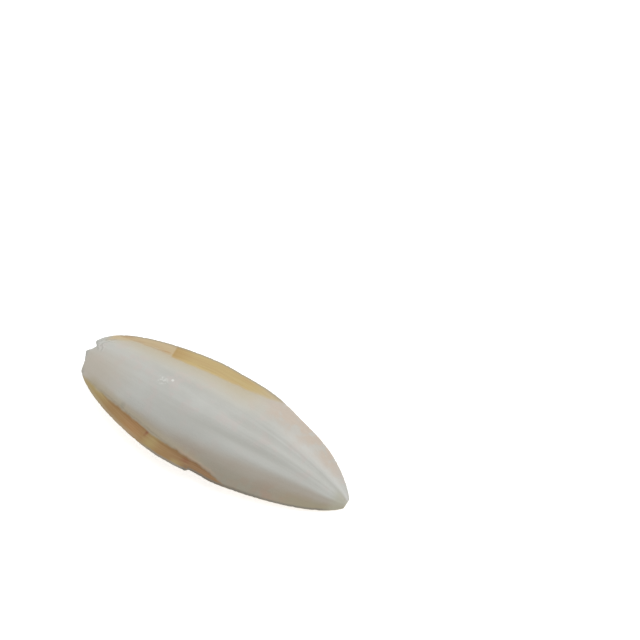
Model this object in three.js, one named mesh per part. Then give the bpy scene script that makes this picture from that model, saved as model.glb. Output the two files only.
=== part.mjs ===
// Cuttlebone: the light, chalky inner shell of a cuttlefish, grown as one body.
// Millimetres, +Z up. The domed back faces up and the belly rests on the surface at Z = 0.
// X runs from the broad front end at -X to the narrow rear end at +X, and the origin is on
// the resting surface under the middle of the bone. "Along" is always the distance from the
// front end, and "across" runs from -1 at the -Y margin to +1 at the +Y margin.

import * as THREE from 'three';
import { mergeGeometries, mergeVertices } from 'three/addons/utils/BufferGeometryUtils.js';

// Overall size
const LENGTH = 150;
const WIDTH = 57.6;
const DOME_HEIGHT = 8.6;
const HUMP_DEPTH = 7.2;

// Outline seen from above, with a sway of the rear part to +Y
const WIDEST_AT = 0.426 * LENGTH;
const FRONT_OVERHANG = 0.6;
const FRONT_BEND = 1.4;
const FRONT_FULLNESS = 0.41;
const REAR_OVERHANG = 1.25;
const REAR_BEND = 2;
const REAR_FULLNESS = 0.69;
const SWAY = 2;
const SWAY_AT = 0.78 * LENGTH;
const SWAY_REACH = 0.306 * LENGTH;

// Height of the thin outer margin above the resting surface
const FRONT_MARGIN_HEIGHT = 9;
const REAR_MARGIN_HEIGHT = 0.5;
const MARGIN_DROOP = 2.2;
const MARGIN_THICKNESS = 1.3;
const MARGIN_ROUNDING = 0.5;

// Domed back: flat along the middle and round on the flanks, inside a level flange
const DOME_FLATNESS = 2.3;
const DOME_FLARE = 1.35;
const DOME_TAPER = 1.3;
const FLANGE_SHARE = 0.8;

// Three low ribs along the back, which grow and close up towards the rear end
const RIB_HEIGHT = 0.3;
const RIB_SPACING = 0.37;
const RIB_FIELD = 0.5;
const RIBS_START = 0.05 * LENGTH;
const RIBS_FULL = 0.65 * LENGTH;

// Horny rim left bare on both sides, below the edge of the chalky shield
const NEAR_RIM = 7.1;
const FAR_RIM = 8.5;
const RIM_CENTRE = 0.353 * LENGTH;
const RIM_REACH = 0.307 * LENGTH;
const RIM_FULLNESS = 0.75;
const SHIELD_LEDGE = 0.4;
const SHIELD_LEDGE_RUN = 1.2;

// Belly: a hump that is deepest a third of the way back and hollows out towards the rear
const HUMP_FRONT = 0.9;
const HUMP_REAR = 2.1;
const BELLY_FLATNESS = 2.2;
const BELLY_FLARE = 2.1;

// Striated tongue on the belly, bounded in front by an arched ledge
const TONGUE_START = 0.21 * LENGTH;
const TONGUE_ARCH = 0.14 * LENGTH;
const TONGUE_FRONT_WIDTH = 0.74;
const TONGUE_REAR_WIDTH = 0.44;
const TONGUE_LEDGE_FRONT = 1.1;
const TONGUE_LEDGE_REAR = 0.35;
const TONGUE_LEDGE_RUN = 1.8;

// Broken front end: a notch between two lobes, of which the -Y one slants back
const NOTCH_DEPTH = 3;
const NOTCH_NEAR_WALL = -2.2;
const NOTCH_FAR_WALL = 2.1;
const NOTCH_WALL_RUN = 3.8;
const SLANT_START = 2.3;
const SLANT = 0.66;
const BREAK_REACH = 6;

// Uneven margins: a chip along the -Y one, and two low swells along the +Y one, where its rim
// runs out and near the rear end
const CHIP_START = 0.52 * LENGTH;
const CHIP_DEPTH = 1.25;
const CHIP_STEP = 2.2;
const CHIP_FADE = 14.4;
const RIM_SWELL_AT = 0.61 * LENGTH;
const RIM_SWELL_HEIGHT = 0.8;
const RIM_SWELL_REACH = 22;
const REAR_SWELL_AT = 0.88 * LENGTH;
const REAR_SWELL_HEIGHT = 1;
const REAR_SWELL_REACH = 24;
const MARGIN_BAND = 0.25;

// Mesh density
const ROWS = 60;
const COLUMNS = 38;
const ROW_CROWDING = 0.75;
const COLUMN_CROWDING = 0.4;
const WELD_DISTANCE = 1e-3;

function smoothStep(value) {
  return THREE.MathUtils.smoothstep(value, 0, 1);
}

// Half width of the whole, unbroken outline
function halfWidth(along) {
  const inFront = along < WIDEST_AT;
  const reach = inFront ? WIDEST_AT + FRONT_OVERHANG : LENGTH - WIDEST_AT + REAR_OVERHANG;
  const bend = inFront ? FRONT_BEND : REAR_BEND;
  const fullness = inFront ? FRONT_FULLNESS : REAR_FULLNESS;
  const away = Math.abs(along - WIDEST_AT) / reach;
  return (WIDTH / 2) * (1 - away ** bend) ** fullness;
}

// How far the middle line sways to +Y
function sway(along) {
  return SWAY * Math.exp(-(((along - SWAY_AT) / SWAY_REACH) ** 2));
}

// How far a margin is moved to +Y: the -Y one chipped in, the +Y one swollen out
function marginShift(along, across) {
  const pastStep = along - CHIP_START - CHIP_STEP;
  const chip = CHIP_DEPTH * smoothStep(1 + pastStep / CHIP_STEP) * (1 - smoothStep(pastStep / CHIP_FADE));
  const rimSwell = RIM_SWELL_HEIGHT * (1 - smoothStep(Math.abs(along - RIM_SWELL_AT) / RIM_SWELL_REACH));
  const rearSwell = REAR_SWELL_HEIGHT * (1 - smoothStep(Math.abs(along - REAR_SWELL_AT) / REAR_SWELL_REACH));
  const shift = across < 0 ? chip : rimSwell + rearSwell;
  return shift * smoothStep((Math.abs(across) - 1 + MARGIN_BAND) / MARGIN_BAND);
}

// How far the front end is broken back
function frontBreak(along, y) {
  const nearWall = smoothStep((y - NOTCH_NEAR_WALL) / NOTCH_WALL_RUN);
  const farWall = smoothStep((y - NOTCH_FAR_WALL) / NOTCH_WALL_RUN);
  const notch = NOTCH_DEPTH * nearWall * (1 - farWall);
  const slant = SLANT * Math.max(0, -y - SLANT_START);
  return (notch + slant) * Math.max(0, 1 - along / BREAK_REACH) ** 2;
}

function marginHeight(along) {
  const fall = (along / LENGTH) ** MARGIN_DROOP;
  return THREE.MathUtils.lerp(FRONT_MARGIN_HEIGHT, REAR_MARGIN_HEIGHT, fall);
}

// How full the horny rim is: 0 at both its ends, 1 where it is widest
function rimFullness(along) {
  const away = Math.min(1, Math.abs(along - RIM_CENTRE) / RIM_REACH);
  return (1 - away ** 2) ** RIM_FULLNESS;
}

// Rounds the margin and both ends off over a fraction of a millimetre
function rounding(distance) {
  return Math.sqrt(1 - Math.exp(-Math.max(0, distance) / MARGIN_ROUNDING));
}

function ribs(along, across) {
  const fade = smoothStep((along - RIBS_START) / (RIBS_FULL - RIBS_START));
  const wave = Math.cos((2 * Math.PI * across) / RIB_SPACING);
  return RIB_HEIGHT * fade * wave * Math.exp(-((across / RIB_FIELD) ** 4));
}

function backHeight(along, across) {
  const breadth = halfWidth(along);
  const fullness = breadth / (WIDTH / 2);
  const fromMargin = (1 - Math.abs(across)) * breadth;
  const rim = (across < 0 ? NEAR_RIM : FAR_RIM) * rimFullness(along);
  const flange = FLANGE_SHARE * rim;
  const inside = THREE.MathUtils.clamp((fromMargin - flange) / (breadth - flange), 0, 1);
  const dome = DOME_HEIGHT * fullness ** DOME_TAPER * (1 - (1 - inside) ** DOME_FLATNESS) ** DOME_FLARE;
  const ledge = SHIELD_LEDGE * rimFullness(along) * smoothStep((fromMargin - rim) / SHIELD_LEDGE_RUN);
  return dome + fullness * ribs(along, across) + ledge;
}

// Half width of the striated tongue, as a share of the bone's half width
function tongueWidth(along) {
  if (along < TONGUE_START) return 0;
  const rearward = (along - TONGUE_START) / (LENGTH - TONGUE_START);
  const side = THREE.MathUtils.lerp(TONGUE_FRONT_WIDTH, TONGUE_REAR_WIDTH, rearward);
  const arch = Math.max(0, 1 - (along - TONGUE_START) / TONGUE_ARCH);
  return side * Math.sqrt(1 - arch ** 2);
}

function bellyDepth(along, across) {
  const share = along / LENGTH;
  const peak = HUMP_FRONT / (HUMP_FRONT + HUMP_REAR);
  const swell = (share / peak) ** HUMP_FRONT * ((1 - share) / (1 - peak)) ** HUMP_REAR;
  const profile = (1 - Math.abs(across) ** BELLY_FLATNESS) ** BELLY_FLARE;
  const inside = (tongueWidth(along) - Math.abs(across)) * halfWidth(along);
  const rearward = THREE.MathUtils.clamp((along - TONGUE_START) / (LENGTH - TONGUE_START), 0, 1);
  const ledge = THREE.MathUtils.lerp(TONGUE_LEDGE_FRONT, TONGUE_LEDGE_REAR, Math.sqrt(rearward));
  return HUMP_DEPTH * swell * profile + ledge * smoothStep(inside / TONGUE_LEDGE_RUN);
}

// Maps one point of a unit sheet onto the back (side = 1) or the belly (side = -1). The two
// sheets meet at the margin, and the belly is worn flat where it would pass the surface.
function bonePoint(along, across, side) {
  const y = sway(along) + across * halfWidth(along) + marginShift(along, across);
  const x = along + frontBreak(along, y) - LENGTH / 2;
  const fromEnd = rounding(Math.min(along, LENGTH - along));
  const fromSide = rounding((1 - Math.abs(across)) * halfWidth(along));
  const relief = side > 0 ? backHeight(along, across) : bellyDepth(along, across);
  const lift = fromEnd * ((MARGIN_THICKNESS / 2) * fromSide + relief);
  return new THREE.Vector3(x, y, Math.max(0, marginHeight(along) + side * lift));
}

// Spreads rows or columns so that they lie closer together towards both ends
function crowd(share, crowding) {
  return THREE.MathUtils.lerp(share, (1 - Math.cos(Math.PI * share)) / 2, crowding);
}

// One sheet, from a plane geometry whose vertices are moved onto the bone
function boneSheet(side) {
  const sheet = new THREE.PlaneGeometry(1, 1, ROWS, COLUMNS);
  const position = sheet.attributes.position;
  for (let i = 0; i < position.count; i++) {
    const along = LENGTH * crowd(position.getX(i) + 0.5, ROW_CROWDING);
    const across = 2 * crowd(position.getY(i) + 0.5, COLUMN_CROWDING) - 1;
    const point = bonePoint(along, across, side);
    position.setXYZ(i, point.x, point.y, point.z);
  }
  if (side < 0) sheet.index.array.reverse();
  sheet.deleteAttribute('normal');
  sheet.deleteAttribute('uv');
  return sheet;
}

// The two sheets welded along the margin, with their box centred on X = 0 and Y = 0
function boneGeometry() {
  const shell = mergeVertices(mergeGeometries([boneSheet(1), boneSheet(-1)]), WELD_DISTANCE);
  shell.computeBoundingBox();
  const middle = shell.boundingBox.getCenter(new THREE.Vector3());
  shell.translate(-middle.x, -middle.y, 0);
  shell.computeVertexNormals();
  return shell;
}

function chalk() {
  return new THREE.MeshStandardMaterial({ color: 0xdedbd0, roughness: 0.85, metalness: 0 });
}

const bone = new THREE.Mesh(boneGeometry(), chalk());
bone.name = 'cuttlebone';

const cuttlebone = new THREE.Group();
cuttlebone.add(bone);

export default cuttlebone;
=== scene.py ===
"""A dried cuttlebone lying back up on a plain pale floor."""

import math

import bpy
import numpy as np
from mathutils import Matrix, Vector


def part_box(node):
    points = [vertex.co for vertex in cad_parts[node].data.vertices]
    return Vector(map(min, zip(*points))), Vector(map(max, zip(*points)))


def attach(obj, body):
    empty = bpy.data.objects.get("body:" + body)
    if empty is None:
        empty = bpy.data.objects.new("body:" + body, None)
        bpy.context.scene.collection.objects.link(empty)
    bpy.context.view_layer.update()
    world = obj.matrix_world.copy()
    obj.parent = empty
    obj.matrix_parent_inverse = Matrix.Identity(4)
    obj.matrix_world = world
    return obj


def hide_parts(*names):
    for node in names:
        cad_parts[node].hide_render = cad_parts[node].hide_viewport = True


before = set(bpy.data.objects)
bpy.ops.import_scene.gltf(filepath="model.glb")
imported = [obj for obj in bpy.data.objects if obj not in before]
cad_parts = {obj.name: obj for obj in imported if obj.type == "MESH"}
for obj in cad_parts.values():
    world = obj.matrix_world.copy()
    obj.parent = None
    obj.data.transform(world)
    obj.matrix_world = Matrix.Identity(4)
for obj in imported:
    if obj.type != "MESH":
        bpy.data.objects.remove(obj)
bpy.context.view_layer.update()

# The bone
# One growth: a light chalky shield over a thin horny plate, which shows bare as an amber rim
# along both sides. It is laid up from two sheets, the back and the belly, that meet at the
# margin.

# Lengths are in millimetres, up to where the points are set in metres. "Along" runs from the broad
# front end, and "across" from -1 at the near margin, on the -Y side, to 1 at the far one, on +Y.
MM = 0.001
lowest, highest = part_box("cuttlebone")
LENGTH = (highest.x - lowest.x) / MM
WIDTH = 57.6
WIDEST_AT = 0.426 * LENGTH
FRONT_OVERHANG = 0.6
FRONT_BEND = 1.4
FRONT_FULLNESS = 0.41
REAR_OVERHANG = 1.25
REAR_BEND = 2
REAR_FULLNESS = 0.69


def smooth_step(value):
    """0 up to a value of 0, 1 from a value of 1, smooth between."""
    value = np.clip(value, 0, 1)
    return value * value * (3 - 2 * value)


def wander(place, *lengths):
    """A wandering line between -1 and 1, from sines of unrelated lengths."""
    return sum(np.sin(2 * np.pi * place / each + 7.3 * each) for each in lengths) / len(lengths)


def half_width(along):
    """Half width of the whole, unbroken outline: blunt in front, tapering to the rear."""
    in_front = along < WIDEST_AT
    reach = np.where(in_front, WIDEST_AT + FRONT_OVERHANG, LENGTH - WIDEST_AT + REAR_OVERHANG)
    bend = np.where(in_front, FRONT_BEND, REAR_BEND)
    fullness = np.where(in_front, FRONT_FULLNESS, REAR_FULLNESS)
    return WIDTH / 2 * (1 - (np.abs(along - WIDEST_AT) / reach) ** bend) ** fullness


SWAY = 2
SWAY_AT = 0.78 * LENGTH
SWAY_REACH = 0.306 * LENGTH


def sway(along):
    """How far the middle line sways to the far side."""
    return SWAY * np.exp(-(((along - SWAY_AT) / SWAY_REACH) ** 2))


CHIP_START = 0.52 * LENGTH
CHIP_DEPTH = 1.25
CHIP_STEP = 2.2
CHIP_RUN = 1.4
CHIP_FADE = 14.4
RIM_SWELL_AT = 0.61 * LENGTH
RIM_SWELL_HEIGHT = 0.8
RIM_SWELL_REACH = 22
REAR_SWELL_AT = 0.88 * LENGTH
REAR_SWELL_HEIGHT = 1
REAR_SWELL_REACH = 24
NIBBLE_DEPTH = 0.2
MARGIN_BAND = 0.25


def swelling(along, place, height, reach):
    """A smooth swelling of a height at a place, gone at a reach from it."""
    return height * (1 - smooth_step(np.abs(along - place) / reach))


def margin_shift(along, across):
    """How far a margin is moved to +Y: chipped in on the near side, swollen out on the far one."""
    past_step = along - CHIP_START - CHIP_STEP
    chip = CHIP_DEPTH * smooth_step(1 + past_step / CHIP_RUN) * (1 - smooth_step(past_step / CHIP_FADE))
    swollen = swelling(along, RIM_SWELL_AT, RIM_SWELL_HEIGHT, RIM_SWELL_REACH)
    swollen = swollen + swelling(along, REAR_SWELL_AT, REAR_SWELL_HEIGHT, REAR_SWELL_REACH)
    nibble = NIBBLE_DEPTH * np.clip(wander(along + 60 * np.sign(across), 3.1, 5.3, 8.9, 2.3), 0, 1)
    shift = np.where(across < 0, chip + nibble, swollen - nibble)
    return shift * smooth_step((np.abs(across) - 1 + MARGIN_BAND) / MARGIN_BAND)


NOTCH_DEPTH = 3
NOTCH_NEAR_WALL = -2.2
NOTCH_FAR_WALL = 2.1
NOTCH_WALL_RUN = 3.8
SLANT_START = 2.3
SLANT = 0.66
CRUMB_DEPTH = 0.22
BREAK_REACH = 6


def front_break(along, y):
    """How far the front end is broken back: a notch between two lobes, and small crumbs."""
    near_wall = smooth_step((y - NOTCH_NEAR_WALL) / NOTCH_WALL_RUN)
    far_wall = smooth_step((y - NOTCH_FAR_WALL) / NOTCH_WALL_RUN)
    notch = NOTCH_DEPTH * near_wall * (1 - far_wall)
    slant = SLANT * np.clip(-y - SLANT_START, 0, None)
    crumbs = CRUMB_DEPTH * np.clip(wander(y, 2.1, 3.7, 1.3), 0, 1)
    return (notch + slant + crumbs) * np.clip(1 - along / BREAK_REACH, 0, 1) ** 2


FRONT_MARGIN_HEIGHT = 9
REAR_MARGIN_HEIGHT = 0.5
MARGIN_DROOP = 2.2
MARGIN_THICKNESS = 1.3
MARGIN_ROUNDING = 0.5


def margin_height(along):
    """How high the middle of the margin stands over the floor: it droops to the rear."""
    return FRONT_MARGIN_HEIGHT - (FRONT_MARGIN_HEIGHT - REAR_MARGIN_HEIGHT) * (along / LENGTH) ** MARGIN_DROOP


def rounding(distance):
    """Share of the full thickness at a distance from an edge: 0 at it, rising steeply to 1."""
    return np.sqrt(1 - np.exp(-np.clip(distance, 0, None) / MARGIN_ROUNDING))


NEAR_RIM = 7.1
FAR_RIM = 8.5
RIM_CENTRE = 0.353 * LENGTH
RIM_REACH = 0.307 * LENGTH
RIM_FULLNESS = 0.75
FAR_CRACK = 0.247 * LENGTH
NEAR_CRACK = 0.345 * LENGTH
FAR_COVER = 1.1
FAR_COVER_RUN = 1.5


def rim_fullness(along):
    """How full the bare horny rim is: 0 at both its ends, 1 where it is widest."""
    away = np.clip(np.abs(along - RIM_CENTRE) / RIM_REACH, 0, 1)
    return (1 - away ** 2) ** RIM_FULLNESS


def full_rim_width(across):
    """How wide the rim of either side would be with no chalk spread over it."""
    return np.where(across < 0, NEAR_RIM, FAR_RIM)


def rim_width(along, across):
    """How wide the bare horny rim is, up to the wandering edge of the chalky shield."""
    full = rim_fullness(along)
    far_cover = FAR_COVER * (1 - smooth_step((along - FAR_CRACK) / FAR_COVER_RUN))
    bare = full_rim_width(across) - np.where(across < 0, 0, far_cover)
    ragged = 0.22 * wander(along + 45 * np.sign(across), 6.1, 11.3, 19) + 0.06 * wander(along, 1.9, 2.7)
    return bare * full + ragged * np.clip(2 * full, 0, 1)


CRACK_SLANT = 0.12
CRACK_WIDTH = 0.3
CRACK_DEPTH = 0.25


def rim_crack(along, across, from_margin):
    """The one crack across the rim on each side, 1 in its middle and 0 away from it."""
    place = np.where(across < 0, NEAR_CRACK, FAR_CRACK)
    place = place + CRACK_SLANT * from_margin + 0.15 * wander(from_margin, 2.3)
    return np.exp(-(((along - place) / CRACK_WIDTH) ** 2))


RIB_HEIGHT = 0.3
RIB_SPACING = 0.37
RIB_FIELD = 0.5
RIBS_START = 0.05 * LENGTH
RIBS_FULL = 0.65 * LENGTH
RIDGE_HEIGHT = 0.035


def ribs(along, across):
    """Three low ribs and finer ridges between them, which close up towards the rear."""
    rise = smooth_step((along - RIBS_START) / (RIBS_FULL - RIBS_START))
    in_field = np.exp(-((across / RIB_FIELD) ** 4))
    broad = RIB_HEIGHT * rise * np.cos(2 * np.pi * across / RIB_SPACING) * in_field
    drift = across * WIDTH / 2 + 0.6 * np.sin(along / 23)
    fine = RIDGE_HEIGHT * (0.3 + 0.7 * rise) * wander(drift, 1.7, 2.9, 4.3)
    return broad + fine


# The layers are missing beyond a slanting line that runs back from the notch's far corner
LAYER_DEPTH = 0.25
OUTER_LAYER_DEPTH = 0.2
OUTER_LAYER_WIDTH = 1.2
FRONT_LAYER_DEPTH = 0.12
FRONT_LAYER_WIDTH = 4.4
LAYERS_CORNER = 1.9
LAYERS_SLANT = 0.63
LAYERS_END = 7
LAYERS_FADE = 3


def layer_edges(along, y, from_margin):
    """Depth of the thin layers broken away from the far lobe of the front end."""
    from_edge = np.minimum(along, from_margin) + 0.15 * wander(y, 2.9, 1.7)
    outer = OUTER_LAYER_DEPTH * (1 - smooth_step((from_edge - OUTER_LAYER_WIDTH) / 0.4))
    past_front = along - FRONT_LAYER_WIDTH + 0.2 * wander(y, 3.9)
    front = FRONT_LAYER_DEPTH * (1 - smooth_step(past_front / 0.5))
    past_notch = y - LAYERS_CORNER - LAYERS_SLANT * (along - NOTCH_DEPTH) + 0.2 * wander(along, 2.7)
    on_lobe = smooth_step(past_notch / 0.6) * (1 - smooth_step((along - LAYERS_END) / LAYERS_FADE))
    return on_lobe * (LAYER_DEPTH + outer + front)


DOME_HEIGHT = 8.6
DOME_TAPER = 1.3
DOME_FLATNESS = 2.3
DOME_FLARE = 1.35
FLANGE_SHARE = 0.8
SHIELD_LEDGE = 0.4
SHIELD_LEDGE_RUN = 0.9
HORN_LINE_HEIGHT = 0.03


def back_height(along, across, y, from_margin):
    """How far the back rises over the thin margin."""
    breadth = half_width(along)
    fullness = breadth / (WIDTH / 2)
    full_rim = rim_fullness(along)
    flange = FLANGE_SHARE * full_rim_width(across) * full_rim
    inside = np.clip((from_margin - flange) / (breadth - flange), 0, 1)
    dome = DOME_HEIGHT * fullness ** DOME_TAPER * (1 - (1 - inside) ** DOME_FLATNESS) ** DOME_FLARE
    past_rim = from_margin - rim_width(along, across)
    ledge = SHIELD_LEDGE * full_rim * smooth_step(past_rim / SHIELD_LEDGE_RUN)
    on_rim = np.clip(2 * full_rim, 0, 1) * (1 - smooth_step((past_rim + 0.6) / 0.6))
    lines = HORN_LINE_HEIGHT * wander(from_margin + 0.02 * along, 1.1, 2.3)
    horn = on_rim * (lines - CRACK_DEPTH * rim_crack(along, across, from_margin))
    return dome + fullness * ribs(along, across) + ledge + horn - layer_edges(along, y, from_margin)


TONGUE_START = 0.21 * LENGTH
TONGUE_ARCH = 0.14 * LENGTH
TONGUE_FRONT_WIDTH = 0.74
TONGUE_REAR_WIDTH = 0.44
GROWTH_LINE_REACH = 0.76


def tongue_width(along):
    """Half width of the belly's striated tongue, as a share of the bone's half width."""
    past = along - TONGUE_START
    narrowing = (TONGUE_FRONT_WIDTH - TONGUE_REAR_WIDTH) * past / (LENGTH - TONGUE_START)
    arch = np.clip(1 - past / TONGUE_ARCH, 0, 1)
    return np.where(past > 0, (TONGUE_FRONT_WIDTH - narrowing) * np.sqrt(1 - arch ** 2), 0)


def inside_tongue(along, across):
    """How far inside the tongue's edge a point of the belly lies."""
    return (tongue_width(along) - np.abs(across)) * half_width(along)


def tongue_age(along, across):
    """Where the arched growth line through a point crosses the middle of the tongue."""
    share = np.clip(np.abs(across) / GROWTH_LINE_REACH, 0, 0.999)
    return along - TONGUE_ARCH * (1 - np.sqrt(1 - share ** 2))


HUMP_DEPTH = 7.2
HUMP_AT = 0.3
HUMP_FRONT = 0.9
HUMP_REAR = 2.1
BELLY_FLATNESS = 2.2
BELLY_FLARE = 2.1
TONGUE_LEDGE_FRONT = 1.1
TONGUE_LEDGE_REAR = 0.35
TONGUE_LEDGE_RUN = 1.8
STRIATION_HEIGHT = 0.05


def belly_depth(along, across):
    """How far the belly hangs below the thin margin."""
    share = along / LENGTH
    bulge = (share / HUMP_AT) ** HUMP_FRONT * ((1 - share) / (1 - HUMP_AT)) ** HUMP_REAR
    hump = HUMP_DEPTH * bulge * (1 - np.abs(across) ** BELLY_FLATNESS) ** BELLY_FLARE
    on_tongue = smooth_step(inside_tongue(along, across) / TONGUE_LEDGE_RUN)
    rearward = np.clip((along - TONGUE_START) / (LENGTH - TONGUE_START), 0, 1)
    ledge = TONGUE_LEDGE_FRONT - (TONGUE_LEDGE_FRONT - TONGUE_LEDGE_REAR) * np.sqrt(rearward)
    lines = STRIATION_HEIGHT * wander(tongue_age(along, across), 2.1, 3.3, 5.9)
    return hump + on_tongue * (ledge + lines)


ROWS = 330
COLUMNS = 146
CROWDING = 0.3
BACK, BELLY = 1, -1
SEAM_GAP = 2e-6


def crowded(share):
    """Moves even shares from 0 to 1 closer together at both ends, where the edges are."""
    return (1 - CROWDING) * share + CROWDING / 2 * (1 - np.cos(np.pi * share))


def sheet_points(row_share, column_share, side):
    """Where a unit sheet's points lie on the back or the belly, with what a finish needs to know."""
    along = LENGTH * crowded(row_share)
    across = 2 * crowded(column_share) - 1
    y = sway(along) + across * half_width(along) + margin_shift(along, across)
    x = along + front_break(along, y) - LENGTH / 2
    from_margin = (1 - np.abs(across)) * half_width(along)
    from_end = rounding(np.minimum(along, LENGTH - along))
    relief = back_height(along, across, y, from_margin) if side == BACK else belly_depth(along, across)
    lift = from_end * rounding(from_margin) * (MARGIN_THICKNESS / 2 + relief)
    z = np.maximum(0, margin_height(along) + side * lift)
    middle = (y.max() + y.min()) / 2
    return np.stack([x, y - middle, z], 1) * MM, along, across, from_margin


def lay_sheet(name, side):
    """Adds a unit grid and moves its points onto the back or the belly."""
    bpy.ops.object.select_all(action="DESELECT")
    bpy.ops.mesh.primitive_grid_add(x_subdivisions=ROWS, y_subdivisions=COLUMNS, size=1)
    sheet = bpy.context.object
    sheet.name = name
    mesh = sheet.data
    place = np.zeros(len(mesh.vertices) * 3)
    mesh.vertices.foreach_get("co", place)
    place = np.round(place.reshape(-1, 3) + 0.5, 6)
    points, along, across, from_margin = sheet_points(place[:, 0], place[:, 1], side)
    mesh.vertices.foreach_set("co", points.ravel())
    facts = {
        "along": along,
        "across": across,
        "from_margin": from_margin,
        "past_rim": from_margin - rim_width(along, across),
        "rim": rim_fullness(along),
        "belly": np.full(len(along), 1.0 if side == BELLY else 0.0),
        "tongue": np.clip(inside_tongue(along, across), -5, 5),
        "age": tongue_age(along, across),
    }
    for fact, values in facts.items():
        mesh.attributes.new(fact, "FLOAT", "POINT").data.foreach_set("value", values.astype(np.float32))
    return sheet


bone = lay_sheet("bone", BACK)
belly = lay_sheet("belly", BELLY)
bone.select_set(True)
bpy.context.view_layer.objects.active = bone
bpy.ops.object.join()
bpy.ops.object.mode_set(mode="EDIT")
bpy.ops.mesh.select_all(action="SELECT")
bpy.ops.mesh.remove_doubles(threshold=SEAM_GAP)
bpy.ops.mesh.normals_make_consistent(inside=False)
bpy.ops.object.mode_set(mode="OBJECT")
bpy.ops.object.shade_smooth()


class Value:
    """A number leaving a shader node. Sums and products on it add Math nodes."""

    def __init__(self, finish, socket):
        self.finish = finish
        self.socket = socket

    def math(self, operation, *others):
        return self.finish.node("ShaderNodeMath", {"operation": operation}, [self, *others])

    def __add__(self, other):
        return self.math("ADD", other)

    __radd__ = __add__

    def __mul__(self, other):
        return self.math("MULTIPLY", other)

    __rmul__ = __mul__

    def __sub__(self, other):
        return self.math("SUBTRACT", other)

    def __rsub__(self, other):
        return self.finish.node("ShaderNodeMath", {"operation": "SUBTRACT"}, [other, self])

    def size(self):
        """The number without its sign."""
        return self.math("ABSOLUTE")

    def least(self, other):
        """The lesser of two numbers."""
        return self.math("MINIMUM", other)

    def step(self, start, end):
        """0 up to start, 1 at end and beyond, smooth between."""
        settings = {"interpolation_type": "SMOOTHSTEP"}
        return self.finish.node("ShaderNodeMapRange", settings, {"Value": self, 1: start, 2: end})

    def fade(self, start, end):
        """1 up to start, 0 at end and beyond, smooth between."""
        return 1 - self.step(start, end)

    def between(self, start, full, last, end):
        """0 up to start, 1 from full to last, 0 at end and beyond, smooth between."""
        return self.step(start, full) * self.fade(last, end)

    def bump(self, place, breadth):
        """1 at place, falling smoothly to 0 at a breadth from it."""
        return (self - place).size().fade(0, breadth)


class Finish:
    """A material and the nodes that make it."""

    def __init__(self, name):
        self.material = bpy.data.materials.new(name)
        self.material.use_nodes = True
        self.tree = self.material.node_tree
        self.tree.nodes.clear()

    def node(self, kind, settings, values, output=0):
        """Adds a node, with its settings first, then the values or links of its sockets."""
        made = self.tree.nodes.new(kind)
        for name, setting in settings.items():
            setattr(made, name, setting)
        pairs = values.items() if isinstance(values, dict) else enumerate(values)
        for name, value in pairs:
            if isinstance(value, Value):
                self.tree.links.new(value.socket, made.inputs[name])
            else:
                made.inputs[name].default_value = value
        return Value(self, made.outputs[output]) if made.outputs else made

    def fact(self, name):
        """A number kept at each point of the piece's mesh."""
        return self.node("ShaderNodeAttribute", {"attribute_name": name}, {}, output="Fac")

    def mix(self, share, first, second):
        """Colour first, turning to colour second as share goes from 0 to 1."""
        settings = {"data_type": "RGBA", "clamp_factor": True}
        return self.node("ShaderNodeMix", settings, {0: share, 6: first, 7: second}, output=2)

    def noise(self, vector, scale=1.0, detail=3.0, roughness=0.55):
        """A soft random pattern of numbers around 0.5."""
        values = {"Vector": vector, "Scale": scale, "Detail": detail, "Roughness": roughness}
        return self.node("ShaderNodeTexNoise", {}, values)

    def stretch(self, *numbers):
        """A place made of three numbers, for a pattern that follows the piece's own surface."""
        return self.node("ShaderNodeCombineXYZ", {}, list(numbers))

    def spot(self, where, place, breadth):
        """1 at a place on the piece, falling smoothly to 0 at a breadth from it."""
        away = self.node("ShaderNodeVectorMath", {"operation": "DISTANCE"}, [where, place], output="Value")
        return away.fade(0.35 * breadth, breadth)

    def relief(self, height, strength, distance):
        """Fine relief that only tilts the surface's shading, from a pattern of heights."""
        values = {"Strength": strength, "Distance": distance, "Height": height}
        return self.node("ShaderNodeBump", {}, values)

    def shader(self, values):
        """A surface of one kind, from its colour and how it takes the light."""
        return self.node("ShaderNodeBsdfPrincipled", {}, values)


def shade(red, green, blue):
    """A paint shade, given as the eye sees it from 0 to 255, as a linear colour."""
    seen = np.array([red, green, blue]) / 255
    return (*np.where(seen <= 0.04045, seen / 12.92, ((seen + 0.055) / 1.055) ** 2.4).tolist(), 1)


# Finish of the bone
# Dry matt chalk, neutral in the middle and stained warmer towards the margins, where the horn
# shines through it, with painted shade on its near side and in its grooves and painted light on
# its ribs and far side, and smoother amber horn on the rims, browner and darker on the near side,
# partly their own colour and partly painted shade.
finish = Finish("bone")
where = finish.node("ShaderNodeTexCoord", {}, {}, output="Object")
along = finish.fact("along")
across = finish.fact("across")
from_margin = finish.fact("from_margin")
past_rim = finish.fact("past_rim")
rim_full = finish.fact("rim")
belly_side = finish.fact("belly")
tongue = finish.fact("tongue")
age = finish.fact("age")
back_side = 1 - belly_side
near_side = across.fade(-0.05, 0.05)
far_side = 1 - near_side

# Patterns that run along the bone, and patterns that are the same in all directions. "Where" is
# in metres, and the numbers kept on the mesh are still in millimetres.
streaks = finish.noise(finish.stretch(along * 0.02, across * 6, belly_side * 3))
fine_streaks = finish.noise(finish.stretch(along * 0.05, across * 30, belly_side * 3), roughness=0.6)
grooves = finish.noise(finish.stretch(along * 0.012, across * 11, belly_side * 3), 1.0, 2, 0.5)
striations = finish.noise(finish.stretch(age * 1.5, across * 1.2, 4), 1.0, 2, 0.5)
cloud = finish.noise(where, 45)
blush = finish.noise(where, 160, 2, 0.5)
speckle = finish.noise(where, 420, 2, 0.5)
crumbs = finish.noise(where, 850, 2, 0.5)
grain = finish.noise(where, 1100, 3, 0.7)
blotch = 0.1 * (cloud - 0.5)

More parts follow.
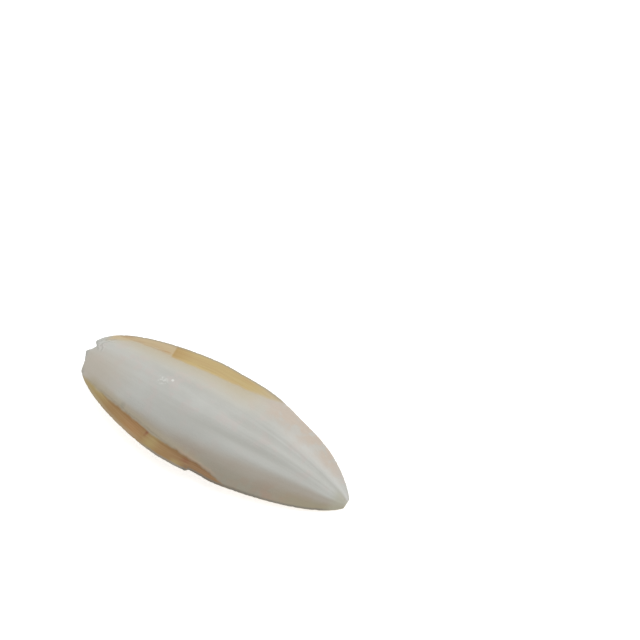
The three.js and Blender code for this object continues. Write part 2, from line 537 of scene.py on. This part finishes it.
CHALK_WHITE = shade(202, 202, 198)
CHALK = shade(191, 192, 187)
CHALK_GREY = shade(181, 181, 175)
CHALK_DULL = shade(173, 173, 167)
GROOVE_GREY = shade(161, 161, 154)
CHALK_PINK = shade(192, 183, 178)
CHALK_BUFF = shade(182, 174, 161)
CHALK_BEIGE = shade(170, 160, 138)
CHALK_CREAM = shade(184, 174, 151)
CHALK_SHADED = shade(163, 155, 143)
CHALK_SHADE_AND_STAIN = shade(154, 143, 128)
CHALK_RUSTY = shade(163, 139, 123)
CHALK_MOSSY = shade(147, 146, 131)
CHALK_OCHRE = shade(158, 149, 125)
CHALK_PEACH = shade(189, 177, 164)
EDGE_SHADOW_BROWN = shade(116, 104, 89)
EDGE_SHADOW_GREY = shade(124, 121, 113)
LEDGE_TAN = shade(184, 160, 138)
TIP_CREAM = shade(170, 168, 151)

# Chalk of the middle: mottled grey white, with painted shade in the grooves between the ribs and over the
# near half of the top, and painted light along the near rib and the rear of the far flank
mottle = (cloud - 0.5).step(-0.15, 0.15) * 0.5 + streaks.step(0.35, 0.65) * 0.4
chalk = finish.mix(mottle, CHALK_GREY, CHALK)
chalk = finish.mix(0.5 * blush.step(0.52, 0.66), chalk, CHALK_PINK)
# Painted shade in the grooves between the ribs
rib_field = along.step(48, 110) * across.size().fade(0.35, 0.6)
chalk = finish.mix(0.35 * rib_field * grooves.step(0.54, 0.66), chalk, CHALK_DULL)
# Painted shade over the near half of the top, which faces away from the lamp
near_top_shade = along.step(26, 62) * across.fade(-0.2, -0.06)
chalk = finish.mix(0.5 * near_top_shade, chalk, CHALK_DULL)
# Painted shade along the two main grooves
near_groove = (across - 0.0023 * along).bump(-0.41, 0.11) * along.between(50, 88, 108, 140)
far_groove = (across - 0.0015 * along).bump(-0.005, 0.11) * along.between(72, 92, 112, 136)
chalk = finish.mix(0.42 * near_groove + 0.26 * far_groove, chalk, GROOVE_GREY)
# Painted light along the near rib
near_ridge = across.bump(-0.36, 0.1) * along.between(74, 90, 112, 130)
chalk = finish.mix(0.3 * near_ridge, chalk, CHALK)
# Painted light on the rear of the far flank, which faces the lamp
far_light = across.bump(0.52, 0.3) * along.step(98, 122)
chalk = finish.mix(0.6 * far_light, chalk, CHALK_WHITE)
front_stain = along.between(0, 5, 14, 40) * across.fade(-0.4, 0.5)
chalk = finish.mix(0.8 * front_stain, chalk, CHALK_BUFF)

# Low on the near flank: painted shade, deepest by the margin, where it is mixed with real stains patched with
# rust, moss and ochre; beige by the rim
# Painted shade on the near flank, which faces away from the lamp
in_shade = near_side * (across - 0.0026 * along + blotch).fade(-0.84, -0.62)
chalk = finish.mix(0.85 * in_shade * along.step(10, 45), chalk, CHALK_SHADED)
# Darker still by the margin: painted shade together with a brown stain
by_margin = near_side * along.step(60, 82) * (across + 3 * blotch).fade(-0.85, -0.5)
chalk = finish.mix(0.8 * by_margin, chalk, CHALK_SHADE_AND_STAIN)
chalk = finish.mix(0.55 * by_margin * blush.step(0.44, 0.58), chalk, CHALK_RUSTY)
chalk = finish.mix(0.5 * by_margin * cloud.step(0.5, 0.62), chalk, CHALK_MOSSY)
# Towards the tip the same painted shade and stain turns ochre
by_tip = near_side * along.step(112, 134) * (across + 4 * blotch).fade(-0.85, -0.5)
chalk = finish.mix(0.75 * by_tip, chalk, CHALK_OCHRE)
by_near_rim = near_side * along.between(8, 16, 78, 92) * past_rim.fade(0.5, 4.5)
chalk = finish.mix(0.75 * by_near_rim, chalk, CHALK_BEIGE)

# Cream along the far rim, and peach behind it
by_far_rim = far_side * along.between(2, 8, 76, 104)
spread = (across + 2 * blotch - 0.15 * along.fade(8, 32)).step(0.15, 0.85)
chalk = finish.mix(by_far_rim * spread, chalk, CHALK_CREAM)
rear_peach = far_side * along.between(82, 102, 132, 147) * (across + 5 * blotch).step(0.3, 0.75)
peach_share = 0.95 * rear_peach * (0.35 + 0.65 * blush.step(0.38, 0.56))
chalk = finish.mix(peach_share, chalk, CHALK_PEACH)

# Edges: tan on the shield's ledge, a painted brown and grey shadow line along the near margin, cream at the
# tip
ledge_light = near_side * along.between(66, 74, 88, 96) * past_rim.bump(0.8, 1.1)
chalk = finish.mix(0.5 * ledge_light, chalk, LEDGE_TAN)
# Painted shadow: a dark line under the rear of the near margin
brown_edge_shadow = near_side * along.between(80, 92, 100, 124) * from_margin.fade(0.4, 1.6)
chalk = finish.mix(0.7 * brown_edge_shadow, chalk, EDGE_SHADOW_BROWN)
grey_edge_shadow = near_side * along.between(90, 104, 140, 149) * from_margin.fade(0.3, 1.1)
chalk = finish.mix(0.75 * grey_edge_shadow, chalk, EDGE_SHADOW_GREY)
chalk = finish.mix(0.7 * along.step(141, 147) * across.fade(0.1, 0.6), chalk, TIP_CREAM)

TONGUE_PALE = shade(196, 199, 190)
BELLY_WHITE = shade(198, 194, 184)
BELLY_BEIGE = shade(194, 178, 152)
LEDGE_GREY = shade(152, 148, 134)

# The belly: a pale striated tongue behind an arched ledge with a band of painted shade in front of it, and
# beige side margins
belly_margin = (from_margin + 20 * blotch).fade(2, 12)
under = finish.mix(0.85 * belly_margin * along.step(10, 40), BELLY_WHITE, BELLY_BEIGE)
under = finish.mix(0.3 * blush.step(0.48, 0.64), under, CHALK_PINK)
# Painted shade: a soft grey band in front of the tongue's arched ledge
ledge_shade = age.bump(TONGUE_START - 1.1, 2.6) * across.size().fade(0.45, 0.74)
under = finish.mix(0.5 * ledge_shade, under, LEDGE_GREY)
on_tongue = tongue.step(-0.6, 2.5)
under = finish.mix(on_tongue, under, TONGUE_PALE)
under = finish.mix(0.16 * on_tongue * striations.step(0.48, 0.62), under, LEDGE_GREY)
chalk = finish.mix(belly_side, chalk, under)

GLINT_WHITE = shade(222, 223, 218)
GLINT_PLACE = (-25.2 * MM, 4.1 * MM, 17.0 * MM)
GLINT_BREADTH = 1.0 * MM
GLINT_SMEAR_PLACE = (-29.3 * MM, 1.9 * MM, 17.2 * MM)
GLINT_SMEAR_BREADTH = 3.8 * MM
PIT_GREY = shade(130, 133, 126)
PIT_PLACE = (-39.9 * MM, -17.1 * MM, 10.7 * MM)
PIT_BREADTH = 2.0 * MM

# Small marks on the back: a white fleck with a speckled smear beside it, both painted glints of light on the
# grainy chalk, and a grey pit
# Painted highlights: white glints on the chalk's grains
glint_fleck = finish.spot(where, GLINT_PLACE, GLINT_BREADTH)
glint_smear = finish.spot(where, GLINT_SMEAR_PLACE, GLINT_SMEAR_BREADTH) * crumbs.step(0.5, 0.6)
chalk = finish.mix(0.75 * glint_fleck + 0.36 * glint_smear, chalk, GLINT_WHITE)
pit = finish.spot(where, PIT_PLACE, PIT_BREADTH)
chalk = finish.mix(0.28 * pit, chalk, PIT_GREY)

HORN_GOLD = shade(190, 168, 116)
HORN_CREAM = shade(190, 174, 142)
HORN_PALE = shade(192, 172, 136)
HORN_RUST = shade(178, 142, 104)
HORN_AMBER = shade(172, 138, 84)
HORN_OLIVE = shade(163, 146, 97)
HORN_BROWN = shade(150, 119, 76)
HORN_ORANGE = shade(158, 115, 70)
HORN_DARK = shade(136, 103, 68)
HORN_RED = shade(132, 78, 54)
HORN_GREY = shade(156, 148, 130)
HORN_DULL = shade(168, 154, 128)
LIP_SHADOW_GREY = shade(141, 136, 126)
LIP_SHADOW_DARK = shade(112, 101, 87)
TAB_GREY = shade(98, 97, 90)

# The broken front end: thin layers on the far lobe, their steps drawn with lines of painted shade
# and painted highlight, horn that shows at its margin, and a grey edge on the near lobe
lobe_wander = 2.5 * (blush - 0.5) + 5 * (speckle - 0.5)
from_edge = (along + 10 * across).least(from_margin + 2.3) + lobe_wander
# Painted shade and painted highlight along the steps of the layers
dark_lines = from_edge.bump(6.2, 1) + 0.8 * from_edge.bump(9.3, 0.9) + 0.5 * from_edge.bump(4, 0.9)
light_lines = from_edge.bump(7.9, 0.8) + from_edge.bump(10.3, 0.7)
on_lobe = back_side * along.fade(9, 11) * across.step(-0.02, 0.1)
chalk = finish.mix(0.7 * on_lobe * dark_lines, chalk, GROOVE_GREY)
chalk = finish.mix(0.35 * on_lobe * light_lines, chalk, CHALK_WHITE)
front_edge = back_side * near_side * along.fade(6, 9) * along.least(from_margin).fade(1.4, 3.2)
chalk = finish.mix(0.5 * front_edge, chalk, GROOVE_GREY)
lobe_horn = back_side * far_side * along.between(4, 8, 13, 18) * (from_margin + 10 * blotch).fade(3, 6)
chalk = finish.mix(0.75 * lobe_horn, chalk, HORN_PALE)

# Horn of the far rim: pale ahead of its crack, amber behind it, then golden and last cream, with
# rusty streaks
horn_streaks = finish.noise(finish.stretch(along * 0.03, from_margin * 0.8, near_side), roughness=0.6)
strands = finish.noise(finish.stretch(along * 0.06, from_margin * 2.2, near_side * 5), 1.0, 2, 0.5)
from_crack = along - CRACK_SLANT * from_margin
far_horn = finish.mix(along.step(78, 96), HORN_GOLD, HORN_CREAM)
far_horn = finish.mix(0.3 * horn_streaks.step(0.45, 0.65), far_horn, HORN_RUST)
far_horn = finish.mix(0.6 * along.fade(37, 50), far_horn, HORN_AMBER)
far_horn = finish.mix(from_crack.fade(FAR_CRACK - 0.65, FAR_CRACK + 0.35), far_horn, HORN_PALE)
rust = past_rim.bump(-1.2, 1.2) * horn_streaks.step(0.42, 0.56) + 0.6 * past_rim.bump(-0.3, 0.5)
far_horn = finish.mix(0.8 * rust * from_crack.fade(34, 37), far_horn, HORN_RUST)

# Horn of the near rim: olive in front, then brown with orange and olive patches, dark behind. It is darker
# all along than the far rim, partly its own browner colour and partly painted shade, as it faces away from
# the lamp.
near_horn = finish.mix(along.step(17, 32), HORN_OLIVE, HORN_BROWN)
near_horn = finish.mix(0.6 * along.bump(45, 10), near_horn, HORN_ORANGE)
near_horn = finish.mix(along.step(60, 84), near_horn, HORN_DARK)
near_horn = finish.mix(0.7 * along.bump(57, 6), near_horn, HORN_OLIVE)
near_horn = finish.mix(0.6 * along.bump(73, 5) * from_margin.fade(1.5, 4), near_horn, HORN_OLIVE)
near_horn = finish.mix(0.3 * past_rim.bump(-0.9, 1.1) * along.step(18, 36), near_horn, HORN_DARK)
horn = finish.mix(near_side, far_horn, near_horn)

# Streaks and strands along both rims
horn = finish.mix(0.35 * horn_streaks.step(0.4, 0.7) * near_side, horn, HORN_DARK)
horn = finish.mix(0.2 * horn_streaks.step(0.45, 0.25), horn, HORN_CREAM)
horn = finish.mix(0.1 * strands.step(0.52, 0.64), horn, HORN_PALE)
horn = finish.mix(0.1 * strands.step(0.48, 0.36), horn, HORN_DARK)

# Painted shade along the horn's outer edges, a grey line on the far rim and a grey and dark painted shadow
# line on the near one, with a duller band at its front; the near rim's red crack and patch, and the grey tab
# at its chip
# Painted shade: a grey line along the far rim's outer edge
horn = finish.mix(0.85 * far_side * from_margin.fade(0.5, 1.6), horn, HORN_GREY)
across_rim = past_rim.between(-4, -0.8, -0.3, 0.4)
red_crack = near_side * from_crack.bump(NEAR_CRACK + 0.35, 1.3) * across_rim
horn = finish.mix(0.7 * red_crack, horn, HORN_RED)
# Painted shadow: a grey line along the near rim's outer edge, dark behind the chip
near_lip_shadow = near_side * from_margin.fade(0.4, 1.3)
horn = finish.mix(0.8 * near_lip_shadow * along.step(50, 60), horn, LIP_SHADOW_GREY)
dull_lip = near_side * along.fade(46, 58) * from_margin.fade(0.5, 1.9)
horn = finish.mix(0.5 * dull_lip, horn, HORN_DULL)
horn = finish.mix(0.8 * near_lip_shadow * along.step(CHIP_START + 0.6, CHIP_START + 2.6), horn, LIP_SHADOW_DARK)
red_patch = near_side * from_crack.bump(CHIP_START - 2, 3.5) * from_margin.bump(4.4, 1.8)
horn = finish.mix(0.5 * red_patch, horn, HORN_RED)
tab = near_side * along.bump(CHIP_START + 0.3, 2.4) * from_margin.fade(1.2, 2.6)
horn = finish.mix(0.95 * tab * crumbs.step(0.36, 0.56), horn, TAB_GREY)

# Where the horn shows: up to a ragged, partly soft edge of the chalk on the back, and along the
# margin under the belly
edge_wander = 1.6 * (blush - 0.5) - 0.6 * near_side * along.bump(CHIP_START, 12)
soft_edge = 0.5 * far_side + 0.5 * near_side * along.fade(14, 40)
ragged_edge = (past_rim + edge_wander) * (1 - soft_edge)
back_horn = rim_full.step(0, 0.12) * ragged_edge.fade(-0.7, 0.5)
belly_horn = rim_full.step(0.05, 0.3) * (from_margin + 30 * blotch).fade(0.8, 3)
horn_share = back_horn * back_side + belly_horn * belly_side

chalk_grain = grain + 0.6 * speckle + 0.5 * fine_streaks + on_tongue * belly_side * striations
chalk_relief = finish.relief(chalk_grain, 0.3, 0.4 * MM)
horn_relief = finish.relief(horn_streaks, 0.2, 0.3 * MM)
chalk_shader = finish.shader(
    {"Base Color": chalk, "Roughness": 0.9, "Specular IOR Level": 0.25, "Normal": chalk_relief}
)
horn_shader = finish.shader(
    {"Base Color": horn, "Roughness": 0.55, "Specular IOR Level": 0.35, "Normal": horn_relief}
)
skin = finish.node("ShaderNodeMixShader", {}, [horn_share, chalk_shader, horn_shader])
finish.node("ShaderNodeOutputMaterial", {}, {"Surface": skin})

bone.data.materials.append(finish.material)
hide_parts("cuttlebone")
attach(bone, "root")

# The floor
# A plain matt white sheet, far larger than the bone, with a faint glow that stands for a bright
# room. The belly's hump and the tip of the rear end rest on it.
FLOOR_SIZE = 6
PAPER_WHITE = shade(246, 246, 246)
PAPER_GLOW = shade(255, 255, 255)
bpy.ops.object.select_all(action="DESELECT")
bpy.ops.mesh.primitive_plane_add(size=FLOOR_SIZE)
floor = bpy.context.object
floor.name = "floor"
paper = Finish("floor")
paper_shader = paper.shader(
    {"Base Color": PAPER_WHITE, "Roughness": 0.95, "Emission Color": PAPER_GLOW, "Emission Strength": 0.45}
)
paper.node("ShaderNodeOutputMaterial", {}, {"Surface": paper_shader})
floor.data.materials.append(paper.material)

# The light
# A wide soft lamp high over the far side of the bone, facing it, and an even white surround
# that fills the shadows.
LAMP_PLACE = Vector((0.06, 0.64, 1.0))
LAMP_WIDTH = 1.0
LAMP_POWER = 6.6
SURROUND_STRENGTH = 0.72
lamp_data = bpy.data.lights.new("key lamp", "AREA")
lamp_data.size = LAMP_WIDTH
lamp_data.energy = LAMP_POWER
lamp = bpy.data.objects.new("key lamp", lamp_data)
bpy.context.collection.objects.link(lamp)
lamp.location = LAMP_PLACE
lamp.rotation_euler = (-LAMP_PLACE).to_track_quat("-Z", "Y").to_euler()

world = bpy.data.worlds.new("surround")
world.use_nodes = True
surround = world.node_tree.nodes["Background"]
surround.inputs["Color"].default_value = (1, 1, 1, 1)
surround.inputs["Strength"].default_value = SURROUND_STRENGTH
bpy.context.scene.world = world
bpy.context.scene.view_settings.view_transform = "Standard"

# The camera
# It stands over the near side and looks down at the bone, which lies left of and below the
# middle of the picture.
CAMERA_PLACE = (0.1593, -0.1564, 0.4367)
CAMERA_TURN = 32.19
CAMERA_DIP = 57.4
camera_data = bpy.data.cameras.new("camera")
camera_data.sensor_width = 36
camera_data.lens = 56.25
camera_data.clip_start = 0.01
camera = bpy.data.objects.new("camera", camera_data)
bpy.context.collection.objects.link(camera)
camera.location = CAMERA_PLACE
camera.rotation_euler = (math.radians(90 - CAMERA_DIP), 0, math.radians(CAMERA_TURN))
bpy.context.scene.camera = camera
